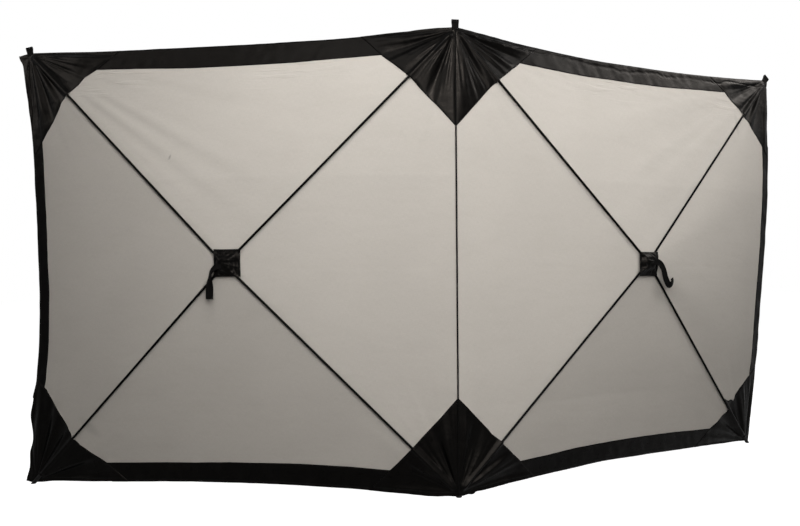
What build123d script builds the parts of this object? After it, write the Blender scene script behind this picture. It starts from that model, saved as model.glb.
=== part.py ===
"""Two-panel pop-up beach windbreak, in millimetres.

Each panel is a sheet of pale cloth with black hems and corner patches, pushed forward at its
middle by a hub from which four rods run to the corners. The panels share one upright seam, which
is the Z axis. The front, where the hubs and their pull straps are, faces -Y, and the floor is Z = 0.

A panel is drawn in its own frame: X runs along it from the seam, Z is up and -Y is its front.
"""
from build123d import *
import os

# Panel corners, where the rod axes meet the seam and the outer edge
PANEL_HEIGHT = 1800.0
PANEL_WIDTH = 1782.0
PANEL_ANGLE = 17.7
HUB_RISE = 127.0
CORNER_HEIGHT = 14.0

# Cloth
CLOTH_THICKNESS = 1.5
TOP_HEM = 84.0
BOTTOM_HEM = 88.0
SIDE_HEM = 52.0
SEAM_PATCH_LEG = 371.0
OUTER_PATCH_LEG = 402.0
OUTER_PATCH_BOW = 18.0
SEAM_TOP_RISE = 10.0
SEAM_BOTTOM_DROP = 8.0
OUTER_TOP_RISE = 3.0
OUTER_BOTTOM_DROP = 5.0
EAR_DEPTH = 20.0

# The two panels hang a little differently: sags are measured from the corner lines, the ear is
# how far the cloth reaches past the outer rod ends, and the twist and billow are towards the front
LEFT = dict(top_sag=11.0, bottom_sag=11.0, side_sag=26.0, ear=46.0, twist=0.0, billow=0.0,
            loop_lean=-17.0, strap_start=-14.0, strap_reach=16.0, strap_drop=118.0, strap_hook=0.0)
RIGHT = dict(top_sag=29.0, bottom_sag=19.0, side_sag=8.0, ear=19.0, twist=56.0, billow=58.0,
             loop_lean=32.0, strap_start=0.0, strap_reach=48.0, strap_drop=92.0, strap_hook=18.0)

# Rods and the cloth sleeves that hold their ends
ROD_DIAMETER = 9.5
ROD_STAND_OFF = 1.0
ROD_START = 20.0
ROD_END_SETBACK = 45.0
SLEEVE_WALL = 1.5
SLEEVE_CLEARANCE = 0.3
SEAT_GAP = 0.3

# Hub, its cloth cover and the pull strap
HUB_DIAMETER = 52.0
HUB_HEIGHT = 19.0
HUB_ARM_DIAMETER = 16.0
HUB_ARM_LENGTH = 46.0
COVER_SIZE = 102.0
COVER_TOP_SIZE = 64.0
COVER_HEIGHT = 23.0
COVER_THICKNESS = 1.5
STRAP_WIDTH = 26.0
STRAP_THICKNESS = 3.0
STRAP_ROOT = 24.0
STRAP_BEND_RADIUS = 10.0

# Seam, webbing loops and feet
SEAM_DIAMETER = 7.0
SEAM_CLEARANCE = 0.3
TURN_CLEARANCE = 0.5
LOOP_WIDTH = 30.0
LOOP_HEIGHT = 29.0
LOOP_BASE = 6.0
LOOP_SLOT = 3.0
WEBBING_THICKNESS = 1.5
SEAM_FOOT_DIAMETER = 24.0
SEAM_FOOT_ROUND = 1.5
TIP_DIAMETER = 16.0
TIP_COVER = 36.0
TIP_END_SETBACK = 8.0

# Derived sizes
ROD_RADIUS = ROD_DIAMETER / 2
ROD_OFFSET = CLOTH_THICKNESS / 2 + ROD_STAND_OFF + ROD_RADIUS
BORE_RADIUS = ROD_RADIUS + SLEEVE_CLEARANCE
SEAM_EDGE = SEAM_DIAMETER / 2 + SEAM_CLEARANCE
MID_U = PANEL_WIDTH / 2
MID_V = PANEL_HEIGHT / 2
SEAM_CLOTH_TOP = CORNER_HEIGHT + PANEL_HEIGHT + SEAM_TOP_RISE
SEAM_CLOTH_BOTTOM = CORNER_HEIGHT - SEAM_BOTTOM_DROP
CUT_DEPTH = HUB_RISE + COVER_HEIGHT + PANEL_WIDTH / 10


def point(u, v, n=0.0):
    """A point of a panel: u along it, v above its corner line, n in front of the cloth."""
    return Vector(u, -n, CORNER_HEIGHT + v)


def corner_points(panel, n=0.0):
    """The four corners of a panel by name, n in front of the cloth's middle."""
    return {
        "bottom_seam": point(0, 0, n),
        "bottom_outer": point(PANEL_WIDTH, 0, n - panel["twist"]),
        "top_outer": point(PANEL_WIDTH, PANEL_HEIGHT, n + panel["twist"]),
        "top_seam": point(0, PANEL_HEIGHT, n),
    }


def layer(panel, back, front):
    """The slab between two offsets from the cloth's faceted middle surface, oversize at its rim."""
    hub = point(MID_U, MID_V, HUB_RISE + back)
    corners = corner_points(panel, back)
    seam_bottom = point(0, -SEAM_BOTTOM_DROP - SEAM_EDGE, back)
    seam_top = point(0, PANEL_HEIGHT + SEAM_TOP_RISE + SEAM_EDGE, back)
    outer_middle = point(PANEL_WIDTH, MID_V, back + panel["billow"])
    rim = [seam_bottom, corners["bottom_outer"], outer_middle, corners["top_outer"], seam_top]
    oversize = 1.1
    rim = [hub + (corner - hub) * oversize for corner in rim]
    slab = Part()
    for first, second in zip(rim, rim[1:] + rim[:1]):
        facet = Face(Wire.make_polygon([hub, first, second], close=True))
        slab += extrude(facet, amount=front - back, dir=(0, -1, 0))
    return slab


def prism(edges):
    """Everything in front of and behind a closed outline drawn on the panel."""
    return extrude(make_face(edges), amount=CUT_DEPTH, dir=(0, 1, 0), both=True)


def cloth_outline(panel):
    """The panel's outline: sagging top, side and bottom edges, and an ear at the outer top corner."""
    seam_bottom = point(SEAM_EDGE, -SEAM_BOTTOM_DROP)
    seam_top = point(SEAM_EDGE, PANEL_HEIGHT + SEAM_TOP_RISE)
    outer_top = point(PANEL_WIDTH, PANEL_HEIGHT + OUTER_TOP_RISE)
    ear_top = point(PANEL_WIDTH + panel["ear"], PANEL_HEIGHT + OUTER_TOP_RISE - EAR_DEPTH)
    ear_bottom = point(PANEL_WIDTH + panel["ear"], -OUTER_BOTTOM_DROP)
    return [
        Line(seam_bottom, seam_top),
        ThreePointArc(seam_top, point(MID_U, PANEL_HEIGHT - panel["top_sag"]), outer_top),
        Line(outer_top, ear_top),
        ThreePointArc(ear_top, point(PANEL_WIDTH - panel["side_sag"], MID_V), ear_bottom),
        ThreePointArc(ear_bottom, point(MID_U, panel["bottom_sag"]), seam_bottom),
    ]


def window_outline(panel):
    """The pale part of the panel before its corners are covered: the outline less the hems."""
    outer_u = PANEL_WIDTH + panel["ear"] - SIDE_HEM
    seam_bottom = point(SEAM_EDGE, BOTTOM_HEM - SEAM_BOTTOM_DROP)
    seam_top = point(SEAM_EDGE, PANEL_HEIGHT + SEAM_TOP_RISE - TOP_HEM)
    outer_top = point(outer_u, PANEL_HEIGHT + OUTER_TOP_RISE - TOP_HEM)
    outer_bottom = point(outer_u, BOTTOM_HEM - OUTER_BOTTOM_DROP)
    top_middle = point(MID_U, PANEL_HEIGHT - panel["top_sag"] - TOP_HEM)
    side_middle = point(PANEL_WIDTH - panel["side_sag"] - SIDE_HEM, MID_V)
    bottom_middle = point(MID_U, panel["bottom_sag"] + BOTTOM_HEM)
    return [
        Line(seam_bottom, seam_top),
        ThreePointArc(seam_top, top_middle, outer_top),
        ThreePointArc(outer_top, side_middle, outer_bottom),
        ThreePointArc(outer_bottom, bottom_middle, seam_bottom),
    ]


def patch_outline(corner):
    """A corner patch as a right triangle that reaches past the cloth, its long side bowed in."""
    at_seam = corner.endswith("seam")
    at_top = corner.startswith("top")
    leg = SEAM_PATCH_LEG if at_seam else OUTER_PATCH_LEG
    bow = 0.0 if at_seam else OUTER_PATCH_BOW
    reach = leg / 4
    corner_u = 0.0 if at_seam else PANEL_WIDTH
    corner_v = PANEL_HEIGHT if at_top else 0.0
    inward_u = 1 if at_seam else -1
    inward_v = -1 if at_top else 1

    def place(u, v):
        return point(corner_u + inward_u * u, corner_v + inward_v * v)

    along = place(leg + reach, -reach)
    down = place(-reach, leg + reach)
    middle = place(leg / 2 - bow, leg / 2 - bow)
    long_side = Line(along, down) if at_seam else ThreePointArc(along, middle, down)
    return [long_side, Line(down, place(-reach, -reach)), Line(place(-reach, -reach), along)]


def bar(start, end, radius):
    """A round bar between two points."""
    run = end - start
    return Solid.make_cylinder(radius, run.length, Plane(origin=start, z_dir=run))


def rod_line(panel, corner):
    """The hub centre, the corner and the direction between them, all on a rod's axis."""
    hub = point(MID_U, MID_V, HUB_RISE + ROD_OFFSET)
    end = corner_points(panel, ROD_OFFSET)[corner]
    return hub, end, (end - hub).normalized()


def rod_setback(corner):
    """How far short of its corner a rod stops: the outer bottom rods stand in their tips."""
    return TIP_END_SETBACK if corner == "bottom_outer" else ROD_END_SETBACK


def rod(panel, corner):
    """A rod from its hub socket to its corner."""
    hub, end, along = rod_line(panel, corner)
    return bar(hub + along * ROD_START, end - along * rod_setback(corner), ROD_RADIUS)


def patch(panel, corner, sheet):
    """A corner patch with the sleeve that its rod ends in."""
    hub, end, along = rod_line(panel, corner)
    region = prism(patch_outline(corner))
    setback = TIP_COVER + SEAT_GAP if corner == "bottom_outer" else rod_setback(corner)
    closure = -SEAT_GAP if corner == "bottom_outer" else SLEEVE_WALL + SEAT_GAP
    sleeve_end = end - along * (setback - closure)
    bore_end = end - along * (rod_setback(corner) - SEAT_GAP)
    sleeve = bar(hub, sleeve_end, BORE_RADIUS + SLEEVE_WALL) & region
    return (sheet & region) + sleeve - bar(hub, bore_end, BORE_RADIUS)


def cover_block(shrink):
    """The hub cover's tapered outer form, or its hollow with a shrink of the cloth's thickness."""
    base_n = HUB_RISE * (1 - COVER_SIZE / PANEL_WIDTH) - shrink
    top_n = HUB_RISE + COVER_HEIGHT - shrink
    base_side = COVER_SIZE - 2 * shrink
    top_side = COVER_TOP_SIZE - 2 * shrink
    facing = Plane(origin=point(MID_U, MID_V), x_dir=(1, 0, 0), z_dir=(0, -1, 0))
    base = facing.offset(base_n) * Rectangle(base_side, base_side)
    top = facing.offset(top_n) * Rectangle(top_side, top_side)
    return loft([base, top])


def hub(panel, cloth_zone):
    """The moulded hub: a round body and four sockets, flattened where the cloth lies under it."""
    front = Plane(origin=point(MID_U, MID_V), z_dir=(0, -1, 0))
    body = Solid.make_cylinder(HUB_DIAMETER / 2, HUB_RISE + HUB_HEIGHT, front)
    sockets = []
    bores = []
    for corner in corner_points(panel):
        centre, end, along = rod_line(panel, corner)
        sockets.append(bar(centre, centre + along * HUB_ARM_LENGTH, HUB_ARM_DIAMETER / 2))
        bores.append(bar(centre + along * (ROD_START - SEAT_GAP), end, BORE_RADIUS))
    return Part() + body + sockets - bores - cloth_zone


def hub_cover(panel, cloth_zone):
    """The square cloth cover over the hub, open at its corners where the rods pass."""
    shell = cover_block(0) - cover_block(COVER_THICKNESS)
    rods = []
    for corner in corner_points(panel):
        centre, end, along = rod_line(panel, corner)
        rods.append(bar(centre, end, BORE_RADIUS))
    return shell - rods - cloth_zone


def pull_strap(panel):
    """The webbing strap that leaves the cover's outer side edge-on, hangs down and may hook up."""
    root_u = MID_U + COVER_SIZE / 2 - STRAP_ROOT
    start_v = MID_V + panel["strap_start"]
    hang_u = MID_U + COVER_SIZE / 2 + panel["strap_reach"]
    end_v = start_v - panel["strap_drop"]
    route = [point(root_u, start_v), point(hang_u, start_v), point(hang_u, end_v)]
    if panel["strap_hook"]:
        hook = panel["strap_hook"]
        route.append(point(hang_u + hook, end_v + hook))
    upright = Plane(origin=point(0, 0), x_dir=(1, 0, 0), z_dir=(0, -1, 0))
    path = FilletPolyline(*[upright.to_local_coords(place) for place in route],
                          radius=STRAP_BEND_RADIUS)
    ribbon = upright.offset(HUB_RISE + ROD_RADIUS) * trace(path, STRAP_THICKNESS)
    return extrude(ribbon, amount=STRAP_WIDTH, dir=(0, -1, 0)) - cover_block(0)


def webbing_loop(below):
    """A pressed-flat loop of webbing on a solid base that reaches down below its origin."""
    outer_depth = LOOP_SLOT + 2 * WEBBING_THICKNESS
    straight = LOOP_HEIGHT - outer_depth / 2
    standing = Plane.YZ.offset(-LOOP_WIDTH / 2)
    outside = Pos(0, (straight - below) / 2) * Rectangle(outer_depth, straight + below)
    outside += Pos(0, straight) * Circle(outer_depth / 2)
    slot_length = straight - LOOP_BASE
    eye = Pos(0, LOOP_BASE + slot_length / 2) * Rectangle(LOOP_SLOT, slot_length)
    eye += Pos(0, straight) * Circle(LOOP_SLOT / 2)
    return extrude(standing * (outside - eye), amount=LOOP_WIDTH)


def corner_loop(panel, outline):
    """The webbing loop sewn on the outer top corner, trimmed where it meets the cloth's edge."""
    corner = corner_points(panel)["top_outer"]
    seat = Pos(corner + Vector(0, 0, OUTER_TOP_RISE)) * Rot(0, panel["loop_lean"], 0)
    return seat * webbing_loop(LOOP_WIDTH / 2) - outline


def rod_tip(panel, cloth_zone):
    """The tip on the outer bottom rod's end, cut flat where it stands on the floor."""
    hub_centre, end, along = rod_line(panel, "bottom_outer")
    floor_reach = 3 * CORNER_HEIGHT
    ground_side = 4 * (floor_reach + TIP_DIAMETER)
    tip = bar(end - along * TIP_COVER, end + along * floor_reach, TIP_DIAMETER / 2)
    socket = bar(hub_centre, end - along * (TIP_END_SETBACK - SEAT_GAP), BORE_RADIUS)
    below = (Align.CENTER, Align.CENTER, Align.MAX)
    ground = Pos(end.X, end.Y) * Box(ground_side, ground_side, ground_side, align=below)
    return tip - socket - cloth_zone - ground


def panel_pieces(panel):
    """Every piece of one panel by name, in the panel's own frame."""
    outline = prism(cloth_outline(panel))
    sheet = layer(panel, -CLOTH_THICKNESS / 2, CLOTH_THICKNESS / 2) & outline
    cloth_zone = layer(panel, -HUB_RISE, CLOTH_THICKNESS / 2 + SEAT_GAP)
    pieces = {}
    middle = sheet
    for corner in corner_points(panel):
        pieces[f"{corner}_patch"] = patch(panel, corner, sheet)
        pieces[f"{corner}_rod"] = rod(panel, corner)
        middle -= prism(patch_outline(corner))
    window = prism(window_outline(panel))
    pieces["field"] = middle & window
    hems = (middle - window).solids().sort_by(Axis.Z)
    pieces["bottom_hem"], pieces["side_hem"], pieces["top_hem"] = hems
    pieces["hub"] = hub(panel, cloth_zone)
    pieces["hub_cover"] = hub_cover(panel, cloth_zone)
    pieces["pull_strap"] = pull_strap(panel)
    pieces["corner_loop"] = corner_loop(panel, outline)
    pieces["rod_tip"] = rod_tip(panel, cloth_zone)
    return pieces


def seam_pieces():
    """The upright seam binding with the loop on its top and the foot under it."""
    foot_top = SEAM_CLOTH_BOTTOM - TURN_CLEARANCE
    loop_bottom = SEAM_CLOTH_TOP + TURN_CLEARANCE
    foot = Solid.make_cylinder(SEAM_FOOT_DIAMETER / 2, foot_top, Plane.XY)
    foot = fillet(foot.edges().group_by(Axis.Z)[-1], SEAM_FOOT_ROUND)
    return {
        "seam_foot": foot,
        "seam_binding": bar(Vector(0, 0, foot_top), Vector(0, 0, loop_bottom), SEAM_DIAMETER / 2),
        "seam_loop": Pos(0, 0, loop_bottom) * webbing_loop(0),
    }


def model():
    """Every piece of the windbreak by node name, in place."""
    pieces = seam_pieces()
    for name, shape in panel_pieces(LEFT).items():
        pieces[f"left_{name}"] = Rot(0, 0, -PANEL_ANGLE) * mirror(shape, about=Plane.YZ)
    for name, shape in panel_pieces(RIGHT).items():
        pieces[f"right_{name}"] = Rot(0, 0, PANEL_ANGLE) * shape
    return pieces


os.makedirs("parts", exist_ok=True)
for node, shape in model().items():
    export_step(shape, f"parts/{node}.step")
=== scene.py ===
"""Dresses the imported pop-up windbreak: cloth, webbing, rods, finishes, studio and camera.

Lengths are in metres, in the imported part's frame: the shared seam is the Z axis, the floor is
Z = 0 and the panels' fronts face -Y. On a panel, u runs from the seam to the outer edge, v runs
up from the line between the lower rod ends, and depth is how far in front of that plane.
"""
import math

import bmesh
import bpy
import numpy as np
from bpy.props import FloatProperty, FloatVectorProperty, PointerProperty
from mathutils import Matrix, Vector


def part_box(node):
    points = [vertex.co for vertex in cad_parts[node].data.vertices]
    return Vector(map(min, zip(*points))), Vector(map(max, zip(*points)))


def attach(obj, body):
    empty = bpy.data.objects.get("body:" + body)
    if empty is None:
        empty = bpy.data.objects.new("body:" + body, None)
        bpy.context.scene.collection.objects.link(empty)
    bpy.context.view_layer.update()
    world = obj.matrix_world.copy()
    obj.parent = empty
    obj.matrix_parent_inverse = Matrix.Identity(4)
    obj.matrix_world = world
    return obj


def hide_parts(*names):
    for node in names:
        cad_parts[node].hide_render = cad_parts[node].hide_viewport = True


bl_info = {
    "name": "Beach windbreak",
    "version": (1, 0, 0),
    "blender": (4, 5, 0),
    "location": "3D View > Sidebar > Windbreak",
    "description": "Builds the cloth, webbing, finishes and studio of a two-panel pop-up windbreak",
    "category": "Object",
}

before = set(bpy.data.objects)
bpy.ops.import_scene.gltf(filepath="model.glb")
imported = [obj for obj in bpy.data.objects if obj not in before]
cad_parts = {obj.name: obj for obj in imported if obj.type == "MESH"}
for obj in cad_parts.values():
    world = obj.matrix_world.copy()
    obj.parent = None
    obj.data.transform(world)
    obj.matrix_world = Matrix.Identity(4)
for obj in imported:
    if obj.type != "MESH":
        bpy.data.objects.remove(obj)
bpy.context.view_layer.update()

SIDES = ("left", "right")
CORNERS = ("top_seam", "bottom_seam", "top_outer", "bottom_outer")

# How far the rods stop short of the hub's centre and of their corners, how far from its corner a
# patch starts to pass over a rod with a tip, and the rods' radius
ROD_START = 0.020
ROD_SETBACK = 0.045
TIP_SETBACK = 0.008
TIP_COVER = 0.036
ROD_RADIUS = 0.00475

# The cloth's layers, measured from its middle: the field lies between the others
SHEET_THICKNESS = 0.0004
HEM_LAYER = 0.0006
POCKET_LAYER = 0.0012
BACKING_LAYER = -0.0006

# How far a piece laps under its neighbour, and how far the cloth starts from the seam's middle
LAP = 0.009
SEAM_INSET = 0.0025

# A turned edge: how far it stands up, and the middle and half width of its fold. Its stitches lie
# further in than those of a flat edge.
TURN_RISE = 0.0005
TURN_MIDDLE = 0.005
TURN_HALF = 0.006
TURN_STITCHES = 0.006

# Small departures of the cut edges from their smooth curves, as (place along the edge, offset)
TOP_EDGE_WAVES = {
    "left": ((0.0, 0.0), (0.10, 0.004), (0.21, 0.001), (0.45, -0.004), (0.70, -0.001), (1.20, 0.002),
             (1.50, 0.0), (1.65, 0.002), (1.80, 0.0)),
    "right": ((0.0, 0.0), (0.12, 0.0), (0.32, -0.004), (0.70, -0.005), (0.96, -0.001), (1.80, 0.001)),
}
BOTTOM_EDGE_WAVES = {
    "left": ((0.0, -0.003), (0.03, -0.005), (0.11, -0.011), (0.23, -0.007), (0.47, 0.0), (0.80, 0.003),
             (1.05, 0.002), (1.49, -0.004), (1.70, 0.0), (1.76, -0.004), (1.80, -0.005), (1.83, 0.002)),
    "right": ((0.0, -0.004), (0.022, -0.005), (0.042, -0.004), (0.068, -0.0085), (0.084, -0.001),
              (0.12, -0.003), (0.31, -0.001), (0.55, 0.001), (0.77, 0.006), (1.01, 0.001), (1.29, -0.002),
              (1.60, 0.0), (1.72, 0.003), (1.77, 0.002), (1.80, 0.0)),
}
OUTER_EDGE_WAVES = {
    "left": ((0.0, 0.0), (0.06, -0.007), (0.12, 0.001), (0.17, -0.007), (0.28, 0.019), (0.34, 0.015),
             (0.43, 0.003), (0.60, -0.002), (0.76, -0.001), (0.97, 0.006), (1.20, 0.005), (1.44, -0.003),
             (1.66, -0.003), (1.752, -0.005), (1.785, 0.006)),
    "right": ((0.0, 0.003), (0.10, 0.001), (0.26, 0.000), (0.42, -0.001), (0.62, -0.005), (0.82, -0.002),
              (1.01, 0.004), (1.21, 0.008), (1.41, 0.007), (1.60, -0.001), (1.72, -0.002), (1.77, -0.003),
              (1.80, 0.0)),
}

# The creases of its packing across the cloth: (share of the height, width, height of the ridge)
PACKING_CREASES = (
    (0.185, 0.045, -0.0018),
    (0.490, 0.006, -0.0005),
    (0.690, 0.050, 0.0022),
    (0.785, 0.030, 0.0009),
)

# The pleats that fan out of a corner, broad and narrow: (width in degrees, length, share of the depth)
PLEATS = ((8.5, 0.80, 1.15), (3.6, 0.40, 0.35))

# How much narrower each hem is than its full width, along its edge
TOP_HEM_TAKEN_IN = {
    "left": ((0.0, 0.007), (0.45, 0.006), (0.69, 0.003), (1.03, 0.004), (1.33, 0.012), (1.80, 0.016)),
    "right": ((0.0, 0.007), (0.60, 0.008), (0.83, 0.013), (1.07, 0.014), (1.33, 0.020), (1.80, 0.022)),
}
BOTTOM_HEM_TAKEN_IN = {
    "left": ((0.0, 0.014), (0.25, 0.012), (0.45, 0.006), (0.63, 0.004), (0.88, 0.007), (1.13, 0.013),
             (1.40, 0.017), (1.80, 0.020)),
    "right": ((0.0, 0.015), (0.40, 0.012), (0.63, 0.005), (0.87, 0.004), (1.13, 0.006), (1.42, 0.011),
              (1.80, 0.014)),
}
SIDE_HEM_TAKEN_IN = 0.0035

# Where each corner patch reaches to along the hem and along the side, and how far its long edge is
# drawn towards the corner, as (share of the way from the hem to the side, offset)
PATCH_EDGES = {
    ("left", "top_seam"): (0.371, 0.371, (
        (0.0, 0.0), (0.24, 0.001), (0.50, 0.014), (0.62, 0.009), (0.83, 0.006), (1.0, 0.0))),
    ("right", "top_seam"): (0.392, 0.371, (
        (0.0, 0.0), (0.24, 0.007), (0.50, 0.019), (0.57, 0.021), (0.71, 0.014), (1.0, 0.0))),
    ("left", "bottom_seam"): (0.356, 0.371, (
        (0.0, 0.0), (0.30, 0.005), (0.75, 0.005), (1.0, 0.0))),
    ("right", "bottom_seam"): (0.390, 0.371, (
        (0.0, 0.0), (0.22, 0.003), (0.50, 0.009), (0.61, 0.013), (0.66, 0.009), (1.0, 0.0))),
    ("left", "top_outer"): (0.405, 0.440, (
        (0.0, 0.0), (0.21, 0.020), (0.31, 0.037), (0.38, 0.035), (0.48, 0.043), (0.55, 0.045),
        (0.60, 0.036), (0.72, 0.023), (1.0, 0.0))),
    ("left", "bottom_outer"): (0.410, 0.420, (
        (0.0, -0.004), (0.20, 0.004), (0.43, 0.031), (0.50, 0.030), (0.60, 0.018), (0.72, 0.007),
        (0.89, -0.014), (1.0, -0.010))),
    ("right", "top_outer"): (0.385, 0.370, (
        (0.0, 0.0), (0.20, 0.010), (0.34, 0.008), (0.45, 0.013), (0.50, 0.005), (0.57, 0.012),
        (0.62, 0.004), (0.69, 0.005), (1.0, -0.008))),
    ("right", "bottom_outer"): (0.390, 0.385, (
        (0.0, 0.0), (0.22, 0.003), (0.33, 0.014), (0.47, 0.022), (0.488, 0.014), (0.503, -0.062),
        (0.515, -0.047), (0.545, -0.012), (0.575, -0.006), (0.595, 0.017), (0.64, -0.002), (0.70, -0.007),
        (1.0, 0.0))),
}

# The settings' seam patch, to which the reaches above belong
SEAM_PATCH = 0.371

# The hub under its cover: how high its dome stands, and how far from its middle the dome starts
# and stops falling off; and how far its sockets stand above the rods, and where they end.
DOME_HEIGHT = 0.0215
DOME_FALL = (0.020, 0.049)
SOCKET_RISE = 0.0034
SOCKET_END = (0.044, 0.056)

# Each hub cover's shift from its hub along u and v, and its size for the cover size in the settings
COVER_PLACES = {"left": (-0.009, 0.0065, 1.055), "right": (0.003, -0.0065, 1.02)}

# A cover's thickness, and its flat size with the edges turned in, for its finished size
COVER_THICKNESS = 0.0006

# The height on each cover of the place on its outer side where its wrinkles meet, and that place's
# share of the way out
KNOT_HEIGHTS = {"left": 0.002, "right": 0.010}
KNOT_SHARE = 0.55

# The wrinkles that run from there: (width in degrees, its shift, length, depth, distance to full depth)
COVER_WRINKLES = ((17, 30, 0.09, 0.0036, 0.035), (7, 9, 0.05, 0.0013, 0.030))

# The seam tape's thickness, and how far it keeps inside its solid
TAPE_THICKNESS = 0.0006
TAPE_GAP = 0.0003

# How far each corner loop leans outward, in radians, and its width for the webbing's
CORNER_LOOPS = {"left": (0.17, 1.0), "right": (0.62, 1.2)}
CORNER_LOOP_HEIGHT = 0.029

# Half of a webbing band's section, in shares of half its width and half its thickness
WEBBING_PROFILE = (
    (-1.0, -0.45), (-0.94, -1.0), (-0.80, -0.86), (-0.3, -0.82),
    (0.3, -0.82), (0.80, -0.86), (0.94, -1.0), (1.0, -0.45),
)

# The pull straps: (u, v, depth) from the hub's centre and cover foot, and the angle at which each
# place is turned from facing the front to edge-on
LEFT_STRAP = (
    ((0.010, -0.002, 0.0290), 15.0),
    ((0.028, -0.008, 0.0285), 28.0),
    ((0.043, -0.017, 0.0230), 38.0),
    ((0.0520, -0.027, 0.0200), 44.0),
    ((0.0560, -0.041, 0.0200), 48.0),
    ((0.0575, -0.056, 0.0215), 38.0),
    ((0.0580, -0.072, 0.0225), 10.0),
    ((0.0590, -0.092, 0.0215), -12.0),
    ((0.0600, -0.114, 0.0200), -16.0),
    ((0.0605, -0.134, 0.0190), -16.0),
)
RIGHT_STRAP = (
    ((-0.012, 0.004, 0.0285), 0.0),
    ((0.012, 0.004, 0.0300), 0.0),
    ((0.036, 0.001, 0.0300), -2.0),
    ((0.056, -0.006, 0.0275), -2.0),
    ((0.073, -0.021, 0.0245), -4.0),
    ((0.085, -0.042, 0.0235), -4.0),
    ((0.093, -0.066, 0.0230), -6.0),
    ((0.104, -0.088, 0.0230), -10.0),
    ((0.116, -0.098, 0.0240), -16.0),
    ((0.127, -0.093, 0.0255), -20.0),
    ((0.130, -0.080, 0.0265), -20.0),
    ((0.127, -0.069, 0.0270), -20.0),
)

# The lights that show only as a sheen on the dark cloth: power, place, width and height
GLOSS_LIGHTS = {
    "spark_gloss": (200.0, (-0.15, -2.85, 2.80), (0.9, 0.5)),
    "front_gloss": (100.0, (-0.15, -2.85, 2.10), (2.4, 2.2)),
    "low_gloss": (60.0, (0.35, -2.85, 0.90), (1.6, 0.9)),
    "left_gloss": (26.0, (-1.95, -1.20, 2.95), (1.8, 1.0)),
    "left_patch_gloss": (26.0, (-2.70, -0.10, 2.20), (1.0, 0.8)),
    "right_gloss": (62.0, (3.00, -0.65, 2.80), (2.4, 1.4)),
    "right_patch_gloss": (36.0, (2.50, 0.0, 2.75), (1.3, 0.8)),
}
GLOSS_COLOUR = (1.0, 0.94, 0.88)
WHITE = (1.0, 1.0, 1.0, 1.0)

# What the lights face: the windbreak's middle
LIGHT_AIM = (0.0, 0.15, 0.95)

# How far along the cloth's map the right panel starts
MAP_STEP = 4.0

# Marks on the pale cloth's map: a small dark fleck, a soft dark patch low on the left panel, and a
# painted shade of the fold beside the right panel's top outer rod. Each is (u, v), half width and
# height, turn and shade.
PALE_MARKS_AND_PAINTED_SHADE = (
    ((1.140, 1.335), (0.006, 0.016), 0.35, 0.66),
    ((1.520, 0.235), (0.075, 0.030), 0.75, 0.88),
    # Painted shade of the fold beside the right panel's top outer rod
    ((MAP_STEP + 1.550, 1.560), (0.016, 0.070), 0.10, 0.90),
)


# ---------------------------------------------------------------- settings


class WindbreakClothSizes(bpy.types.PropertyGroup):
    """The cut of the cloth and how each panel hangs: pairs are for the left and right panel."""

    top_hem: FloatProperty(
        name="Top hem", description="Height of the black band along the top",
        default=0.092, min=0.02, unit="LENGTH")
    bottom_hem: FloatProperty(
        name="Bottom hem", description="Height of the black band along the bottom",
        default=0.097, min=0.02, unit="LENGTH")
    side_hem: FloatProperty(
        name="Side hem", description="Width of the black band down the outer edge",
        default=0.052, min=0.02, unit="LENGTH")
    seam_patch: FloatProperty(
        name="Seam patch", description="Length of a seam corner patch along its hem and the seam",
        default=SEAM_PATCH, min=0.1, unit="LENGTH")
    top_sag: FloatVectorProperty(
        name="Top sag", description="How far the top edge hangs below its corners",
        size=2, default=(0.011, 0.029), unit="LENGTH")
    bottom_sag: FloatVectorProperty(
        name="Bottom rise", description="How far the bottom edge rises above its corners",
        size=2, default=(0.011, 0.019), unit="LENGTH")
    side_sag: FloatVectorProperty(
        name="Side sag", description="How far the outer edge curves in between its corners",
        size=2, default=(0.026, 0.008), unit="LENGTH")
    ear: FloatVectorProperty(
        name="Ear", description="How far the cloth reaches past the outer rod ends",
        size=2, default=(0.046, 0.019), unit="LENGTH")
    billow: FloatVectorProperty(
        name="Billow", description="How far the outer edge is blown towards the front",
        size=2, default=(0.0, 0.058), unit="LENGTH")
    fullness: FloatVectorProperty(
        name="Fullness", description="How far the cloth beside the outer edge bellies to the front",
        size=2, default=(0.0, 0.015), unit="LENGTH")
    pleat_depth: FloatProperty(
        name="Pleat depth", description="Depth of the pleats that fan out of the corners",
        default=0.0150, min=0.0, unit="LENGTH")
    crinkle_depth: FloatProperty(
        name="Crinkle depth", description="Depth of the crinkles along the hems",
        default=0.0011, min=0.0, unit="LENGTH")
    casing_depth: FloatVectorProperty(
        name="Casing depth", description="How full the turned casing along the top edge is",
        size=2, default=(0.0012, 0.0030), min=0.0, unit="LENGTH")
    cover_size: FloatProperty(
        name="Hub cover", description="Side of the square cover over each hub",
        default=0.102, min=0.06, unit="LENGTH")
    webbing_width: FloatProperty(
        name="Webbing width", description="Width of the pull straps and corner loops",
        default=0.028, min=0.01, unit="LENGTH")


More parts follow.
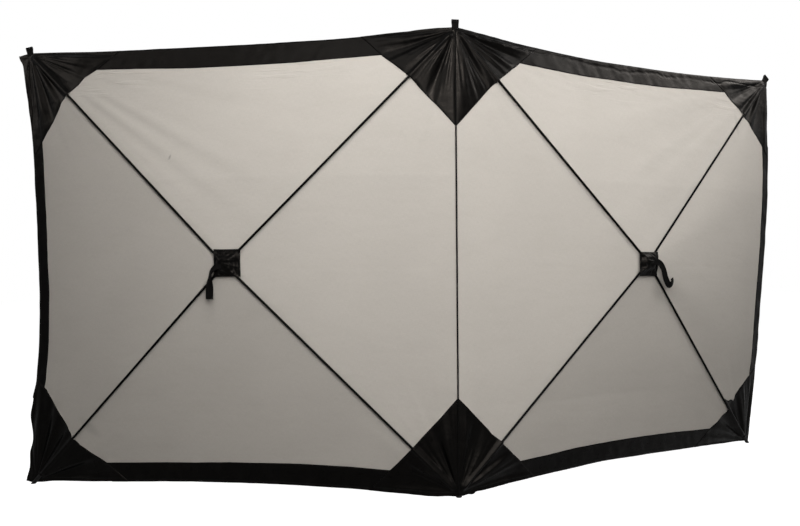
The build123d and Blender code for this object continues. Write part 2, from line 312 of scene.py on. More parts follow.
class WindbreakFinishes(bpy.types.PropertyGroup):
    """The colours of the windbreak's materials."""

    pale_cloth: FloatVectorProperty(
        name="Pale cloth", description="Colour of the large cloth fields",
        size=3, min=0, max=1, default=(0.545, 0.505, 0.455), subtype="COLOR")
    black_cloth: FloatVectorProperty(
        name="Black cloth", description="Colour of the hems, corner patches and hub covers",
        size=3, min=0, max=1, default=(0.0017, 0.0016, 0.0015), subtype="COLOR")
    webbing: FloatVectorProperty(
        name="Webbing", description="Colour of the pull straps and corner loops",
        size=3, min=0, max=1, default=(0.0032, 0.0030, 0.0029), subtype="COLOR")
    thread: FloatVectorProperty(
        name="Thread", description="Colour of the stitching",
        size=3, min=0, max=1, default=(0.010, 0.0096, 0.0092), subtype="COLOR")
    rod: FloatVectorProperty(
        name="Rods", description="Colour of the glass-fibre rods",
        size=3, min=0, max=1, default=(0.0024, 0.0023, 0.0022), subtype="COLOR")
    moulding: FloatVectorProperty(
        name="Mouldings", description="Colour of the hubs, rod tips and foot",
        size=3, min=0, max=1, default=(0.0060, 0.0058, 0.0057), subtype="COLOR")


class WindbreakStudio(bpy.types.PropertyGroup):
    """The lights, the floor and the camera."""

    key_power: FloatProperty(
        name="Key light", description="Power of the large soft light in front",
        default=75.0, min=0.0, unit="POWER")
    key_place: FloatVectorProperty(
        name="Key place", description="Where the large soft light hangs",
        size=3, default=(-0.03, -2.85, 1.95), subtype="TRANSLATION", unit="LENGTH")
    key_size: FloatVectorProperty(
        name="Key size", description="Width and height of the large soft light",
        size=2, default=(3.0, 2.2), unit="LENGTH")
    side_power: FloatProperty(
        name="Side light", description="Power of the soft light on the right",
        default=25.0, min=0.0, unit="POWER")
    side_place: FloatVectorProperty(
        name="Side place", description="Where the soft light on the right hangs",
        size=3, default=(1.77, -0.9, 2.71), subtype="TRANSLATION", unit="LENGTH")
    side_size: FloatVectorProperty(
        name="Side size", description="Width and height of the soft light on the right",
        size=2, default=(1.0, 1.0), unit="LENGTH")
    left_power: FloatProperty(
        name="Left light", description="Power of the soft light above the left panel",
        default=16.0, min=0.0, unit="POWER")
    left_place: FloatVectorProperty(
        name="Left place", description="Where the soft light above the left panel hangs",
        size=3, default=(-0.94, -1.0, 2.54), subtype="TRANSLATION", unit="LENGTH")
    back_power: FloatProperty(
        name="Back light", description="Power of the soft light behind the windbreak",
        default=70.0, min=0.0, unit="POWER")
    back_place: FloatVectorProperty(
        name="Back place", description="Where the soft light behind the windbreak hangs",
        size=3, default=(0.0, 3.6, 2.0), subtype="TRANSLATION", unit="LENGTH")
    gloss: FloatProperty(
        name="Gloss", description="Strength of the lights that show only as a sheen",
        default=1.0, min=0.0)
    ambient: FloatProperty(
        name="Ambient", description="Strength of the even light from all round",
        default=0.025, min=0.0)
    floor_grey: FloatProperty(
        name="Floor", description="How pale the floor is to the light that bounces off it",
        default=0.10, min=0.0, max=1.0, subtype="FACTOR")
    camera_place: FloatVectorProperty(
        name="Camera place", description="Where the camera stands",
        size=3, default=(-0.755, -2.688, 0.845), subtype="TRANSLATION", unit="LENGTH")
    heading: FloatProperty(
        name="Heading", description="How far the camera turns from straight ahead to its right",
        default=math.radians(9.707), unit="ROTATION", subtype="ANGLE")
    pitch: FloatProperty(
        name="Pitch", description="How far the camera looks up",
        default=math.radians(-0.716), unit="ROTATION", subtype="ANGLE")
    roll: FloatProperty(
        name="Roll", description="How far the camera leans",
        default=math.radians(-0.532), unit="ROTATION", subtype="ANGLE")
    lens: FloatProperty(
        name="Lens", description="Focal length in millimetres on a 36 mm wide sensor",
        default=32.17, min=10.0)
    shift: FloatVectorProperty(
        name="Shift", description="How far the picture's centre lies from the lens axis",
        size=2, default=(0.0221, 0.0336))


# ---------------------------------------------------------------- numbers


def smooth(low, high, x):
    """0 below low, 1 above high, and an even curve between them."""
    share = np.clip((x - low) / (high - low), 0, 1)
    return share * share * (3 - 2 * share)


def unevenness(x, y, seed):
    """Smooth chance waves between -1 and 1, whose features are about one unit across."""
    cells = 64
    table = np.random.RandomState(seed).uniform(-1, 1, (cells, cells))
    column = np.floor(x).astype(int)
    row = np.floor(y).astype(int)
    across = smooth(0, 1, x - column)
    up = smooth(0, 1, y - row)
    left, right = column % cells, (column + 1) % cells
    low, high = row % cells, (row + 1) % cells
    near = table[left, low] * (1 - across) + table[right, low] * across
    far = table[left, high] * (1 - across) + table[right, high] * across
    return near * (1 - up) + far * up


def offsets_along(places, x):
    """Offsets at x from a short list of (place, offset), joined by even curves."""
    at = [place for place, offset in places]
    offset = [offset for place, offset in places]
    index = np.interp(x, at, np.arange(len(at)))
    step = np.clip(np.floor(index).astype(int), 0, len(at) - 2)
    share = smooth(0, 1, index - step)
    offset = np.array(offset)
    return offset[step] * (1 - share) + offset[step + 1] * share


def unit(vector):
    """The vector, or each row of vectors, at length one."""
    vector = np.asarray(vector, float)
    return vector / np.linalg.norm(vector, axis=-1, keepdims=True)


def smooth_path(points, count):
    """count places along a smooth curve through points, whose rows may hold any numbers."""
    points = np.asarray(points, float)
    first = 2 * points[0] - points[1]
    last = 2 * points[-1] - points[-2]
    knots = np.vstack([first, points, last])
    at = np.linspace(0, len(points) - 1, count)
    step = np.minimum(at.astype(int), len(points) - 2)
    t = (at - step)[:, None]
    a, b, c, d = (knots[step + shift] for shift in range(4))
    return 0.5 * (2 * b + (c - a) * t + (2 * a - 5 * b + 4 * c - d) * t**2 + (3 * b - a - 3 * c + d) * t**3)


# ---------------------------------------------------------------- panels


def rod_line(side, corner):
    """The hub's centre and the corner that a rod's axis runs between, read from its solid."""
    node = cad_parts[f"{side}_{corner}_rod"]
    points = np.unique(np.round([vertex.co for vertex in node.data.vertices], 6), axis=0)
    low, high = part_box(f"{side}_hub")
    near_hub = np.array((low + high) / 2)
    middle = points.mean(axis=0)
    along = np.linalg.svd(points - middle, full_matrices=False)[2][0]
    along *= np.sign((middle - near_hub) @ along)
    reach = (points - middle) @ along
    start = points[reach < reach.mean()].mean(axis=0)
    end = points[reach > reach.mean()].mean(axis=0)
    along = unit(end - start)
    setback = TIP_SETBACK if corner == "bottom_outer" else ROD_SETBACK
    return start - along * ROD_START, end + along * setback


class ClothPanel:
    """One panel: its axes and sizes, read from its rods, and the form of its cloth."""

    # How soft the bend over a rod is, and how far a facet sags between two rods
    CREASE = 0.012
    FACET_SAG = 0.005

    # How far the cloth's own corners stand above and below the rods' ends, and the slope of its ear
    SEAM_TOP_RISE = 0.010
    SEAM_BOTTOM_DROP = 0.008
    OUTER_TOP_RISE = 0.003
    OUTER_BOTTOM_DROP = 0.005
    EAR_DEPTH = 0.012

    # How fast pleats deepen away from their corner, how round their ridges are, and how far in from
    # the level edges, from the outer edge and from a rod they fade in
    PLEAT_SLOPE = 0.060
    PLEAT_ROUNDNESS = 0.8
    LEVEL_FADE = (-0.004, 0.028)
    OUTER_FADE = (-0.002, 0.030)
    ROD_FADE = (0.003, 0.020)

    # The crinkles' width and length, of those that slant up and of those that slant down
    CRINKLE = (0.024, 0.090)
    CROSSING_CRINKLE = (0.034, 0.100)

    # The seam line below the top edge, which makes its casing: how far down it runs, and its width
    CASING_LINE = 0.025
    CASING_GROOVE = 0.0032

    # The depth of the folds dragged across the field, and how near to the hub's middle and to a
    # rod's axis the cloth keeps behind them
    DRAG = 0.0018
    HUB_CLEARANCE = 0.045
    ROD_CLEARANCE = 0.016

    def __init__(self, side):
        sizes = bpy.context.scene.windbreak_cloth
        index = SIDES.index(side)
        lines = {corner: rod_line(side, corner) for corner in CORNERS}
        corners = {corner: line[1] for corner, line in lines.items()}
        seam = (corners["top_seam"] + corners["bottom_seam"]) / 2
        outer = (corners["top_outer"] + corners["bottom_outer"]) / 2
        run = (outer - seam) * np.array([1, 1, 0])
        self.side = side
        self.body = f"{side}_panel"
        self.map_start = MAP_STEP * index
        self.seed = 100 * (index + 1)
        self.width = np.linalg.norm(run)
        self.along = run / self.width
        turn = math.copysign(1, self.along[0])
        self.front = turn * np.array([self.along[1], -self.along[0], 0])
        self.base = corners["bottom_seam"][2]
        self.height = corners["top_seam"][2] - self.base
        self.rod_offset = seam @ self.front
        hub = np.mean([line[0] for line in lines.values()], axis=0)
        self.rise = hub @ self.front - self.rod_offset
        self.twist = (corners["top_outer"] - corners["bottom_outer"]) @ self.front / 2
        self.top_hem = sizes.top_hem
        self.bottom_hem = sizes.bottom_hem
        self.side_hem = sizes.side_hem
        self.seam_patch = sizes.seam_patch
        self.pleat_depth = sizes.pleat_depth
        self.crinkle_depth = sizes.crinkle_depth
        self.casing_depth = sizes.casing_depth[index]
        for name in ("top_sag", "bottom_sag", "side_sag", "ear", "billow", "fullness"):
            setattr(self, name, getattr(sizes, name)[index])

    # The cut edges

    def top_curve(self, u):
        """The top edge's smooth curve, without the ear's slope."""
        share = u / self.width
        chord = self.SEAM_TOP_RISE * (1 - share) + self.OUTER_TOP_RISE * share
        middle = (self.SEAM_TOP_RISE + self.OUTER_TOP_RISE) / 2
        return self.height + chord - 4 * share * (1 - share) * (self.top_sag + middle)

    def top_edge(self, u):
        """v of the cloth's top edge."""
        ear = np.clip((u - self.width) / self.ear, 0, 1)
        return self.top_curve(u) - self.EAR_DEPTH * ear + offsets_along(TOP_EDGE_WAVES[self.side], u)

    def bottom_curve(self, u):
        """The bottom edge's smooth curve."""
        share = u / (self.width + self.ear)
        chord = -self.SEAM_BOTTOM_DROP * (1 - share) - self.OUTER_BOTTOM_DROP * share
        middle = (self.SEAM_BOTTOM_DROP + self.OUTER_BOTTOM_DROP) / 2
        return chord + 4 * share * (1 - share) * (self.bottom_sag + middle)

    def bottom_edge(self, u):
        """v of the cloth's bottom edge."""
        return self.bottom_curve(u) + offsets_along(BOTTOM_EDGE_WAVES[self.side], u)

    def hem_lines(self, u):
        """v of the inner edges of the top hem and of the bottom hem."""
        top = self.top_curve(u) - self.top_hem + offsets_along(TOP_HEM_TAKEN_IN[self.side], u)
        bottom = self.bottom_curve(u) + self.bottom_hem - offsets_along(BOTTOM_HEM_TAKEN_IN[self.side], u)
        return top, bottom

    def outer_curve(self, v):
        """The outer edge's smooth curve."""
        share = 2 * v / self.height - 1
        return self.width - self.side_sag + (self.ear + self.side_sag) * share**2

    def outer_edge(self, v):
        """u of the cloth's outer edge."""
        return self.outer_curve(v) + offsets_along(OUTER_EDGE_WAVES[self.side], v)

    def apex(self, corner):
        """(u, v) of the cloth's own corner."""
        if corner.endswith("seam"):
            u = SEAM_INSET
        else:
            u = self.width + self.ear
        edge = self.top_edge if corner.startswith("top") else self.bottom_edge
        return u, float(edge(np.array(u)))

    def patch_reach(self, corner):
        """How far a corner patch runs along the hem and along the side."""
        hem_reach, side_reach = PATCH_EDGES[self.side, corner][:2]
        longer = self.seam_patch - SEAM_PATCH if corner.endswith("seam") else 0
        return hem_reach + longer, side_reach + longer

    def hidden_reach(self, corner, lap):
        """Where a patch's straight long edge would run if it were drawn back under the patch."""
        hem_reach, side_reach = self.patch_reach(corner)
        places = PATCH_EDGES[self.side, corner][2]
        back = math.sqrt(2) * (max(offset for place, offset in places) + lap)
        return hem_reach - back, side_reach - back

    def map(self, u, v):
        """Where a place lies on the cloth's own map, on which the panels lie side by side."""
        return np.stack([u + self.map_start, v], axis=-1)

    def inward(self, corner, u, v):
        """How far a place lies in from a corner along the hem and along the side."""
        in_u = u if corner.endswith("seam") else self.width - u
        in_v = self.height - v if corner.startswith("top") else v
        return in_u, in_v

    # The form of the cloth

    def form(self, u, v):
        """How far the smooth cloth stands in front: four facets between the rods."""
        x = 2 * u / self.width - 1
        y = 2 * v / self.height - 1
        gap = abs(x) - abs(y)
        reach = (abs(x) + abs(y) + np.hypot(gap, self.CREASE)) / 2
        reach = np.minimum(reach, 1)
        rim_x = np.clip(x / reach, -1, 1)
        rim_y = np.clip(y / reach, -1, 1)
        outward = (1 + rim_x) / 2
        rim = outward * (self.twist * rim_y + self.billow * (1 - rim_y**2))
        sag = self.FACET_SAG * np.sin(np.clip(abs(gap) / reach, 0, 1) * math.pi / 2)
        sag *= reach * smooth(0, 0.35, u)
        belly = self.fullness * np.sin(math.pi * reach) * smooth(0, 0.6, rim_x - abs(rim_y))
        return self.rise * (1 - reach) + rim * reach - sag + belly

    def pleats(self, u, v):
        """Pleats that fan out of the four corners, deep in the patches and faint in the field."""
        total = 0 * u
        for number, corner in enumerate(CORNERS):
            in_u, in_v = self.inward(corner, u, v)
            hem_reach, side_reach = self.patch_reach(corner)
            distance = np.hypot(in_u, in_v)
            angle = np.degrees(np.arctan2(in_v, in_u))
            share = in_u / hem_reach + in_v / side_reach
            places, offsets = zip(*PATCH_EDGES[self.side, corner][2])
            around = in_v / side_reach / np.maximum(share, 1e-6)
            taken = np.maximum(np.interp(around, places, offsets), 0)
            edge = 1 - taken * (1 / hem_reach + 1 / side_reach) / math.sqrt(2)
            fold = 0 * u
            for step, (degrees, length, part) in enumerate(PLEATS):
                seed = self.seed + 10 * number + 2 + step
                fold = fold + part * unevenness(angle / degrees, distance / length, seed)
            fold = np.sign(fold) * abs(fold) ** self.PLEAT_ROUNDNESS
            depth = np.minimum(distance * self.PLEAT_SLOPE, self.pleat_depth)
            strength = 1 - 0.70 * smooth(-0.45, 0.02, share - edge)
            strength *= 1 - 0.70 * smooth(-0.04, 0.03, share - edge)
            strength *= 1 - smooth(1.0, 2.4, share)
            strength *= smooth(*self.LEVEL_FADE, self.top_curve(u) - v)
            strength *= smooth(*self.LEVEL_FADE, v - self.bottom_curve(u))
            strength *= smooth(*self.OUTER_FADE, self.outer_curve(v) - u)
            strength *= smooth(*self.ROD_FADE, abs(self.from_rod(corner, u, v)[0]))
            total += fold * depth * strength
        return total

    def hem_crinkles(self, u, v):
        """Slanting crinkles in the hems, the fold below the top edge and the puckers beside them."""
        down = self.top_curve(u) - v
        from_bottom = (v - self.bottom_curve(u)) / self.bottom_hem
        from_side = (self.outer_curve(v) - u) / self.side_hem
        nearest = np.minimum(np.minimum(down / self.top_hem, from_bottom), from_side)
        inside = 1 - smooth(0.85, 1.10, nearest)
        width, length = self.CRINKLE
        slant = unevenness((u * 0.85 + v * 0.5) / width, (v * 0.85 - u * 0.5) / length, self.seed + 50)
        width, length = self.CROSSING_CRINKLE
        other = unevenness((u * 0.85 - v * 0.5) / width, (v * 0.85 + u * 0.5) / length, self.seed + 51)
        beside = 0.22 * (1 - smooth(1.0, 1.9, nearest)) * (nearest > 0.5)
        pucker = unevenness(u / 0.030, v / 0.028, self.seed + 52)
        crinkles = self.crinkle_depth * ((slant + 0.7 * other) * inside + pucker * beside)
        line = self.CASING_LINE + 0.008 * unevenness(u / 0.050, 0 * u, self.seed + 53)
        line += 0.003 * unevenness(u / 0.014, 0 * u, self.seed + 54)
        fold = np.sin(math.pi * np.clip(down / line, 0, 1))
        groove = np.exp(-(((down - line) / self.CASING_GROOVE) ** 2))
        casing = 0.15 * fold - 0.75 * groove
        casing *= 0.35 + 0.65 * smooth(-0.5, 0.3, unevenness(u / 0.16, 0 * u, self.seed + 55))
        return crinkles + self.casing_depth * casing * inside

    def field_folds(self, u, v):
        """The wide shallow folds and waves of the field, and the creases of its packing."""
        total = 0.0014 * unevenness(u / 0.31 + 3, v / 0.24 + 5, self.seed + 60)
        total += 0.0004 * unevenness(u / 0.16, v / 0.06, self.seed + 61)
        in_u, in_v = self.inward("top_outer", u, v)
        distance = np.hypot(in_u, in_v)
        angle = np.degrees(np.arctan2(in_v, in_u))
        drag = unevenness(angle / 3.2, distance / 0.9, self.seed + 62)
        reach = smooth(0.25, 0.5, distance) * (1 - smooth(1.0, 1.7, distance))
        total += self.DRAG * drag * reach * (1 - smooth(36, 50, angle))
        below = self.top_curve(u) - self.top_hem - v
        drawn = unevenness((u - 0.4 * v) / 0.055, (v + 0.12 * u) / 0.011, self.seed + 63)
        total += 0.0006 * drawn * smooth(-0.01, 0.01, below) * (1 - smooth(0.02, 0.10, below))
        for number, (share, width, crease) in enumerate(PACKING_CREASES):
            line = self.height * share + 0.004 * unevenness(u / 0.5, 0 * u, self.seed + 70 + number)
            across = abs(v - line) / width
            strength = smooth(-0.6, 0.3, unevenness(u / 0.4, 0 * u, self.seed + 80 + number))
            total += crease * np.exp(-across) * (1 - smooth(2.5, 4, across)) * strength
        return self.off_rods(u, v, total)

    def off_rods(self, u, v, folds):
        """The folds, held back behind the rods and the hub."""
        from_hub = np.hypot(u - self.width / 2, v - self.height / 2)
        near = np.exp(-((from_hub / self.HUB_CLEARANCE) ** 4))
        for corner in CORNERS:
            beside = self.from_rod(corner, u, v)[0]
            near = np.maximum(near, np.exp(-((beside / self.ROD_CLEARANCE) ** 4)))
        return folds - near * np.maximum(folds + 0.0002, 0)

    def points(self, u, v, layer):
        """Points of one layer of the cloth in the frame. At the seam it all lies in the seam tape."""
        loose = np.clip(u / 0.030, 0, 1)
        wrinkles = self.pleats(u, v) + self.hem_crinkles(u, v) + self.field_folds(u, v)
        layer = layer * smooth(0.002, 0.012, u)
        return self.place(u, v, self.form(u, v) + wrinkles * loose + layer)

    def place(self, u, v, depth):
        """Points in the frame from places on the panel."""
        u, v, depth = np.broadcast_arrays(u, v, depth)
        flat = u[..., None] * self.along + depth[..., None] * self.front
        flat[..., 2] += self.base + v
        return flat

    def from_rod(self, corner, u, v):
        """How far a place lies beside a corner's rod, and how far along it from the corner."""
        in_u, in_v = self.inward(corner, u, v)
        slope = unit([self.width, self.height])
        return in_u * slope[1] - in_v * slope[0], in_u * slope[0] + in_v * slope[1]

    def rod_ridge(self, corner, u, v):
        """How far a patch's front layer stands off the cloth where it passes over its rod."""
        beside, along = self.from_rod(corner, u, v)
        start = TIP_COVER if corner == "bottom_outer" else 0.5 * ROD_SETBACK
        height = self.rod_offset + ROD_RADIUS + SHEET_THICKNESS
        return height * np.exp(-((beside / 0.0115) ** 2)) * smooth(start - 0.012, start + 0.014, along)


# ---------------------------------------------------------------- meshes


def grid_quads(rows, columns):
    """Faces of a grid of points that is stored row by row."""
    corner = np.arange(rows * columns).reshape(rows, columns)
    quads = [corner[:-1, :-1], corner[:-1, 1:], corner[1:, 1:], corner[1:, :-1]]
    return np.stack(quads, axis=-1).reshape(-1, 4)


def mesh_object(name, points, faces, material, uv=None, stitch=None):
    """A smooth mesh object in the scene, with the cloth's own map and its stitching map."""
    if not len(faces):
        raise RuntimeError(f"{name} has no faces")
    mesh = bpy.data.meshes.new(name)
    places = np.asarray(points).reshape(-1, 3).tolist()
    mesh.from_pydata(places, [], [list(map(int, face)) for face in faces])
    mesh.polygons.foreach_set("use_smooth", [True] * len(mesh.polygons))
    corners = np.zeros(len(mesh.loops), int)
    mesh.loops.foreach_get("vertex_index", corners)
    for label, values in (("Cloth", uv), ("Stitch", stitch)):
        if values is not None:
            layer = mesh.uv_layers.new(name=label)
            layer.data.foreach_set("uv", np.asarray(values).reshape(-1, 2)[corners].ravel())
    mesh.materials.append(material)
    made = bpy.data.objects.new(name, mesh)
    bpy.context.scene.collection.objects.link(made)
    return made


def thicken(piece, thickness, offset=0):
    """Gives a sheet its thickness: half to each side, or all inward at an offset of -1."""
    solidify = piece.modifiers.new("Thickness", "SOLIDIFY")
    solidify.thickness = thickness
    solidify.offset = offset


def face_outward(piece, merge=0.0):
    """Joins a mesh's points that lie within a distance, if one is given, and turns its faces out."""
    join = bmesh.new()
    join.from_mesh(piece.data)
    if merge:
        bmesh.ops.remove_doubles(join, verts=join.verts, dist=merge)
    bmesh.ops.recalc_face_normals(join, faces=join.faces)
    join.to_mesh(piece.data)
    join.free()


def fit_out(piece, body, slot, *nodes):
    """Says what a piece rides on and which solids it stands for; the finish slot it is given is not used.
    """
    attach(piece, body)
    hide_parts(*nodes)


def turned_edge(distance):
    """How far a turned edge stands up at a distance from its fold."""
    return TURN_RISE * np.exp(-(((distance - TURN_MIDDLE) / TURN_HALF) ** 4))


def field_cut(panel):
    """The field's flat places and faces: up to the hems, and cut off under the corner patches."""
    columns, rows = 224, 214
    across = np.linspace(0, 1, columns)[None, :]
    up = np.linspace(0, 1, rows)[:, None]
    u = panel.width * across + 0 * up
    # Each round brings the upright and the level edges nearer to where they really cross
    for _ in range(3):
        top, bottom = panel.hem_lines(u)
        v = bottom - LAP + (top - bottom + 2 * LAP) * up
        u = SEAM_INSET + (panel.outer_edge(v) - panel.side_hem + LAP - SEAM_INSET) * across
    flat = np.stack([u, v, 0 * u], axis=-1).reshape(-1, 3)
    sheet = bmesh.new()
    made = [sheet.verts.new(point) for point in flat]
    for quad in grid_quads(rows, columns):
        sheet.faces.new([made[index] for index in quad])
    for corner in CORNERS:
        hem_reach, side_reach = panel.hidden_reach(corner, LAP)
        apex_u = 0.0 if corner.endswith("seam") else panel.width
        apex_v = panel.height if corner.startswith("top") else 0.0
        inward_u = 1 if corner.endswith("seam") else -1
        inward_v = -1 if corner.startswith("top") else 1
        normal = (inward_u / hem_reach, inward_v / side_reach, 0)
        whole = sheet.verts[:] + sheet.edges[:] + sheet.faces[:]
        on_line = (apex_u + inward_u * hem_reach, apex_v, 0)
        bmesh.ops.bisect_plane(sheet, geom=whole, plane_co=on_line, plane_no=normal, clear_inner=True)
    sheet.verts.index_update()
    flat = np.array([vertex.co[:2] for vertex in sheet.verts])
    faces = [[vertex.index for vertex in face.verts] for face in sheet.faces]
    sheet.free()
    return flat, faces


def field_piece(panel, material):
    """The pale field: a sheet that laps under the hems and the corner patches, with no stitches."""
    flat, faces = field_cut(panel)
    points = panel.points(flat[:, 0], flat[:, 1], 0.0)
    no_stitches = flat * 0 + 1
    name = f"{panel.side}_pale_field"
    piece = mesh_object(name, points, faces, material, panel.map(*flat.T), no_stitches)
    thicken(piece, SHEET_THICKNESS)
    fit_out(piece, panel.body, "pale_cloth", f"{panel.side}_field")
    return piece


def strip_piece(panel, name, u, v, outer_distance, inner_distance, along, material):
    """A hem: a strip of black cloth between two edges, with a turned and stitched outer edge."""
    points = panel.points(u, v, HEM_LAYER + turned_edge(outer_distance))
    faces = grid_quads(*u.shape)
    uv = panel.map(u, v)
    nearest = np.minimum(outer_distance - TURN_STITCHES, inner_distance)
    stitch = np.stack([along, nearest], axis=-1)
    piece = mesh_object(f"{panel.side}_{name}_band", points, faces, material, uv, stitch)
    thicken(piece, SHEET_THICKNESS)
    fit_out(piece, panel.body, "black_cloth", f"{panel.side}_{name}")
    return piece


def level_hem(panel, name, material):
    """The top or bottom hem, which laps under the patches at its ends."""
    at_top = name == "top_hem"
    place = "top" if at_top else "bottom"
    outer = panel.top_edge if at_top else panel.bottom_edge
    depth = -panel.top_hem if at_top else panel.bottom_hem
    seam_hem, seam_side = panel.hidden_reach(f"{place}_seam", 2 * LAP)
    outer_hem, outer_side = panel.hidden_reach(f"{place}_outer", 2 * LAP)
    columns, rows = 380, 15
    across = np.linspace(0, 1, columns)[None, :]
    inward = np.linspace(0, 1, rows)[:, None]
    start = seam_hem * (1 - abs(depth) * inward / seam_side)
    end = panel.width - outer_hem * (1 - abs(depth) * inward / outer_side)
    u = start + (end - start) * across
    v = outer(u) * (1 - inward) + panel.hem_lines(u)[0 if at_top else 1] * inward
    outer_distance = abs(depth) * inward + 0 * u
    inner_distance = abs(depth) - outer_distance
    return strip_piece(panel, name, u, v, outer_distance, inner_distance, u, material)


def side_hem(panel, material):
    """The hem down the outer edge."""
    low_hem, low_side = panel.hidden_reach("bottom_outer", 2 * LAP)
    high_hem, high_side = panel.hidden_reach("top_outer", 2 * LAP)
    columns, rows = 10, 340
    up = np.linspace(0, 1, rows)[:, None]
    inward = np.linspace(0, 1, columns)[None, :]
    start = low_side * (1 - panel.side_hem * inward / low_hem)
    end = panel.height - high_side * (1 - panel.side_hem * inward / high_hem)
    v = start + (end - start) * up
    width = panel.side_hem - SIDE_HEM_TAKEN_IN
    u = panel.outer_edge(v) - width * inward
    outer_distance = width * inward + 0 * v
    inner_distance = width - outer_distance
    return strip_piece(panel, "side_hem", u, v, outer_distance, inner_distance, v, material)


def patch_grid(panel, corner, rows, columns):
    """(u, v) of a corner patch, as rows from the cloth's corner out to the patch's long edge."""
    hem_reach, side_reach = panel.patch_reach(corner)
    seam = corner.endswith("seam")
    top = corner.startswith("top")
    level_edge = panel.top_edge if top else panel.bottom_edge
    apex_u, apex_v = panel.apex(corner)
    hem_u = hem_reach if seam else panel.width - hem_reach
    side_v = panel.height - side_reach if top else side_reach
    out = np.linspace(0, 1, rows)[:, None]
    around = np.linspace(0, 1, columns)[None, :]
    edge_u = apex_u + (hem_u - apex_u) * out
    edge_v = level_edge(edge_u)
    flank_v = apex_v + (side_v - apex_v) * out
    flank_u = 0 * flank_v + SEAM_INSET if seam else panel.outer_edge(flank_v)
    u = edge_u * (1 - around) + flank_u * around
    v = edge_v * (1 - around) + flank_v * around
    places, offsets = zip(*PATCH_EDGES[panel.side, corner][2])
    ripple = 0.0012 * unevenness(around * 15, 0 * around, panel.seed + 90) * np.sin(math.pi * around)
    pull = (np.interp(around, places, offsets) + ripple) * out**2 / math.sqrt(2)
    u = u + (-pull if seam else pull)
    v = v + (pull if top else -pull)
    return u, v


def corner_patch(panel, corner, material):
    """A corner patch: a pocket sheet over the rod's end, folded round the edges to a backing."""
    rows, columns = 50, 122
    u, v = patch_grid(panel, corner, rows, columns)
    hem_reach, side_reach = panel.patch_reach(corner)
    out = np.linspace(0, 1, rows)[:, None] + 0 * u
    around = np.linspace(0, 1, columns)[None, :] + 0 * u
    long_edge = (1 - out) * (hem_reach + side_reach) / 2 / math.sqrt(2)
    hem_distance = around * out * side_reach / math.sqrt(2)
    flank_distance = (1 - around) * out * hem_reach / math.sqrt(2)
    front_layer = POCKET_LAYER + turned_edge(hem_distance) + panel.rod_ridge(corner, u, v)
    front = panel.points(u, v, front_layer).reshape(-1, 3)
    back = panel.points(u, v, BACKING_LAYER).reshape(-1, 3)
    quads = grid_quads(rows, columns)
    count = rows * columns
    first = np.arange(rows) * columns
    last = first + columns - 1
    folds = []
    for edge in (first, last):
        folds.append(np.stack([edge[:-1], edge[1:], edge[1:] + count, edge[:-1] + count], axis=-1))
    faces = np.vstack([quads, quads[:, ::-1] + count, folds[0], folds[1][:, ::-1]])
    uv = panel.map(u, v)
    along = np.where(long_edge < np.minimum(hem_distance, flank_distance), around * 0.53, out * hem_reach)
    flank_row = 1.0 if corner.endswith("seam") else flank_distance - TURN_STITCHES
    nearest = np.minimum(long_edge, np.minimum(hem_distance - TURN_STITCHES, flank_row))
    stitch = np.stack([along, nearest], axis=-1)
    double_uv = np.concatenate([uv.reshape(-1, 2), uv.reshape(-1, 2)])
    double_stitch = np.concatenate([stitch.reshape(-1, 2), stitch.reshape(-1, 2)])
    name = f"{panel.side}_{corner}_pocket"
    piece = mesh_object(name, np.vstack([front, back]), faces, material, double_uv, double_stitch)
    face_outward(piece, merge=1e-6)
    thicken(piece, SHEET_THICKNESS)
    fit_out(piece, panel.body, "black_cloth", f"{panel.side}_{corner}_patch")
    return piece


def over_hub(panel, x, y):
    """How far a cloth stands up where it is drawn over the hub, its sockets and the rods."""
    reach = np.hypot(x, y)
    square = (abs(x) ** 3 + abs(y) ** 3) ** (1 / 3)
    dome = DOME_HEIGHT * (1 - smooth(*DOME_FALL, square))
    beside = abs(abs(x) - abs(y)) / math.sqrt(2)
    socket = 1 - smooth(*SOCKET_END, reach)
    rod_top = panel.rod_offset + ROD_RADIUS + 0.0008
    ridge = (rod_top + SOCKET_RISE * socket) * np.exp(-((beside / (0.010 + 0.003 * socket)) ** 2))
    taut = 0.78 * rod_top
    return np.maximum((dome**4 + ridge**4 + taut**4) ** 0.25, 0)


def cover_wrinkles(panel, x, y, half):
    """Wrinkles that run from the knot across a hub cover, and its border and row of stitches."""
    edge = half - np.maximum(abs(x), abs(y))
    knot_x, knot_y = x - KNOT_SHARE * half, y - KNOT_HEIGHTS[panel.side]
    from_knot = np.hypot(knot_x, knot_y)
    turn = np.degrees(np.arctan2(knot_y, -knot_x))
    wrinkle = 0.0007 * unevenness(x / 0.011 + 7, y / 0.013, panel.seed + 97)
    for number, (degrees, shift, length, depth, full) in enumerate(COVER_WRINKLES):
        waves = unevenness(turn / degrees + shift, from_knot / length, panel.seed + 96 - number)
        wrinkle += depth * waves * smooth(0, full, from_knot)
    wrinkle = (wrinkle + 0.0012) * smooth(0.001, 0.012, edge)
    border = 0.0008 * (1 - smooth(0.0075, 0.0095, edge))
    groove = 0.0009 * np.exp(-(((edge - 0.0100) / 0.0020) ** 2))
    return wrinkle + border - groove


